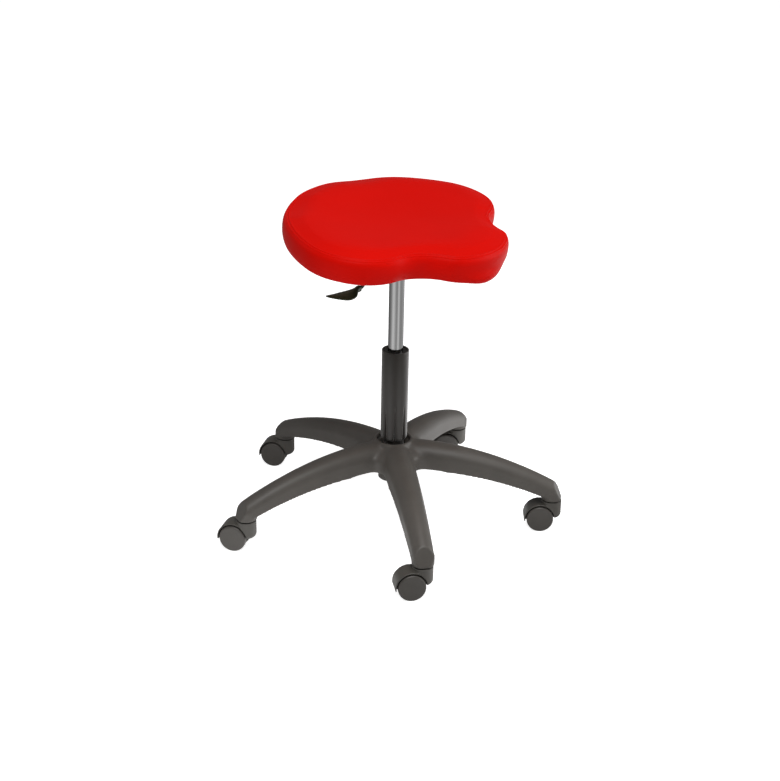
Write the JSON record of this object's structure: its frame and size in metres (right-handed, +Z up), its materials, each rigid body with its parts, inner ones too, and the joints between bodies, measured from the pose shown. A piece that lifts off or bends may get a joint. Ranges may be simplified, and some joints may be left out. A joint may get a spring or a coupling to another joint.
{
  "type": "saddle stool",
  "caption": "Height-adjustable saddle stool: padded contoured seat on a gas-lift column with a release lever, standing on a star base with casters.",
  "frame": {"origin": "on the floor, under the axis of the column", "axes": "+Z up along the column, the seat's narrow nose points along -Y"},
  "size_m": [0.6107, 0.6458, 0.6146],
  "materials": {
    "base_plastic": "fine satin grain",
    "caster_plastic": "fine satin grain",
    "wheel_plastic": "fine satin grain",
    "bush_plastic": "satin",
    "lever_plastic": "satin",
    "tube_paint": "satin black powder coat",
    "plate_paint": "satin black",
    "lever_steel": "satin black",
    "cylinder_chrome": "polished",
    "sleeve_steel": "zinc plated",
    "bearing_steel": "ground",
    "bolt_zinc": "zinc plated",
    "piston_brass": "turned",
    "bump_rubber": "matte",
    "board_wood": "raw plywood",
    "seat_cover": "satin, fine grain"
  },
  "bodies": {
    "root": {"star_base": "base_plastic", "stem_sleeves": "sleeve_steel", "caster_stems": "sleeve_steel", "outer_tube": "tube_paint", "guide_bush": "bush_plastic", "bearing_lower_race": "bearing_steel", "bearing_balls": "bearing_steel"},
    "column": {"bearing_upper_race": "bearing_steel", "piston_rod": "cylinder_chrome", "piston": "piston_brass", "bump_stop": "bump_rubber", "clip_washer": "bearing_steel", "rod_clip": "bearing_steel"},
    "seat": {"gas_cylinder": "cylinder_chrome", "rod_guide": "bush_plastic", "valve_body": "piston_brass", "taper_socket": "plate_paint", "seat_plate": "plate_paint", "lever_bracket": "plate_paint", "lever_pivot": "bolt_zinc", "plate_bolts": "bolt_zinc", "tee_nuts": "bolt_zinc", "seat_board": "board_wood", "seat_cushion": "seat_cover"},
    "lever": {"lever_arm": "lever_steel", "lever_paddle": "lever_plastic"},
    "release_pin": {"release_pin": "bearing_steel"},
    "caster_1": {"caster_1_housing": "caster_plastic", "caster_1_axle": "sleeve_steel"},
    "caster_1_wheel_left": {"caster_1_wheel_left": "wheel_plastic"},
    "caster_1_wheel_right": {"caster_1_wheel_right": "wheel_plastic"},
    "caster_2": {"caster_2_housing": "caster_plastic", "caster_2_axle": "sleeve_steel"},
    "caster_2_wheel_left": {"caster_2_wheel_left": "wheel_plastic"},
    "caster_2_wheel_right": {"caster_2_wheel_right": "wheel_plastic"},
    "caster_3": {"caster_3_housing": "caster_plastic", "caster_3_axle": "sleeve_steel"},
    "caster_3_wheel_left": {"caster_3_wheel_left": "wheel_plastic"},
    "caster_3_wheel_right": {"caster_3_wheel_right": "wheel_plastic"},
    "caster_4": {"caster_4_housing": "caster_plastic", "caster_4_axle": "sleeve_steel"},
    "caster_4_wheel_left": {"caster_4_wheel_left": "wheel_plastic"},
    "caster_4_wheel_right": {"caster_4_wheel_right": "wheel_plastic"},
    "caster_5": {"caster_5_housing": "caster_plastic", "caster_5_axle": "sleeve_steel"},
    "caster_5_wheel_left": {"caster_5_wheel_left": "wheel_plastic"},
    "caster_5_wheel_right": {"caster_5_wheel_right": "wheel_plastic"}
  },
  "joints": [
    {"name": "seat_swivel", "type": "hinge", "parent": "root", "child": "column", "pos_m": [0, 0, 0.104], "axis": [0, 0, 1], "continuous": true},
    {"name": "height_adjust", "type": "slide", "parent": "column", "child": "seat", "axis": [0, 0, 1], "range_m": [-0.13, 0]},
    {"name": "lever_pull", "type": "hinge", "parent": "seat", "child": "lever", "pos_m": [-0.02934, 0.00624, 0.54], "axis": [0.2079, 0.9781, 0], "range_deg": [0, 7], "stiffness_Nm_per_rad": 5},
    {"name": "pin_press", "type": "slide", "parent": "seat", "child": "release_pin", "axis": [0, 0, -1], "range_m": [0, 0.0038]},
    {"name": "caster_1_swivel", "type": "hinge", "parent": "root", "child": "caster_1", "pos_m": [-0.25994, 0.15373, 0.0508], "axis": [0, 0, 1], "continuous": true},
    {"name": "caster_1_roll_left", "type": "hinge", "parent": "caster_1", "child": "caster_1_wheel_left", "pos_m": [-0.26587, 0.1744, 0.025], "axis": [-0.9613, -0.2756, 0], "continuous": true},
    {"name": "caster_1_roll_right", "type": "hinge", "parent": "caster_1", "child": "caster_1_wheel_right", "pos_m": [-0.26587, 0.1744, 0.025], "axis": [-0.9613, -0.2756, 0], "continuous": true},
    {"name": "caster_2_swivel", "type": "hinge", "parent": "root", "child": "caster_2", "pos_m": [-0.22653, -0.19972, 0.0508], "axis": [0, 0, 1], "continuous": true},
    {"name": "caster_2_roll_left", "type": "hinge", "parent": "caster_2", "child": "caster_2_wheel_left", "pos_m": [-0.24092, -0.18374, 0.025], "axis": [-0.7431, -0.6691, 0], "continuous": true},
    {"name": "caster_2_roll_right", "type": "hinge", "parent": "caster_2", "child": "caster_2_wheel_right", "pos_m": [-0.24092, -0.18374, 0.025], "axis": [-0.7431, -0.6691, 0], "continuous": true},
    {"name": "caster_3_swivel", "type": "hinge", "parent": "root", "child": "caster_3", "pos_m": [0.11994, -0.27716, 0.0508], "axis": [0, 0, 1], "continuous": true},
    {"name": "caster_3_roll_left", "type": "hinge", "parent": "caster_3", "child": "caster_3_wheel_left", "pos_m": [0.10887, -0.25873, 0.025], "axis": [-0.8572, -0.515, 0], "continuous": true},
    {"name": "caster_3_roll_right", "type": "hinge", "parent": "caster_3", "child": "caster_3_wheel_right", "pos_m": [0.10887, -0.25873, 0.025], "axis": [-0.8572, -0.515, 0], "continuous": true},
    {"name": "caster_4_swivel", "type": "hinge", "parent": "root", "child": "caster_4", "pos_m": [0.30066, 0.02842, 0.0508], "axis": [0, 0, 1], "continuous": true},
    {"name": "caster_4_roll_left", "type": "hinge", "parent": "caster_4", "child": "caster_4_wheel_left", "pos_m": [0.28959, 0.04685, 0.025], "axis": [-0.8572, -0.515, 0], "continuous": true},
    {"name": "caster_4_roll_right", "type": "hinge", "parent": "caster_4", "child": "caster_4_wheel_right", "pos_m": [0.28959, 0.04685, 0.025], "axis": [-0.8572, -0.515, 0], "continuous": true},
    {"name": "caster_5_swivel", "type": "hinge", "parent": "root", "child": "caster_5", "pos_m": [0.06588, 0.29473, 0.0508], "axis": [0, 0, 1], "continuous": true},
    {"name": "caster_5_roll_left", "type": "hinge", "parent": "caster_5", "child": "caster_5_wheel_left", "pos_m": [0.05924, 0.31517, 0.025], "axis": [-0.9511, -0.309, 0], "continuous": true},
    {"name": "caster_5_roll_right", "type": "hinge", "parent": "caster_5", "child": "caster_5_wheel_right", "pos_m": [0.05924, 0.31517, 0.025], "axis": [-0.9511, -0.309, 0], "continuous": true}
  ],
  "couplings": [
    {"joint": "pin_press", "follows": "lever_pull", "m_per_rad": 0.031}
  ]
}
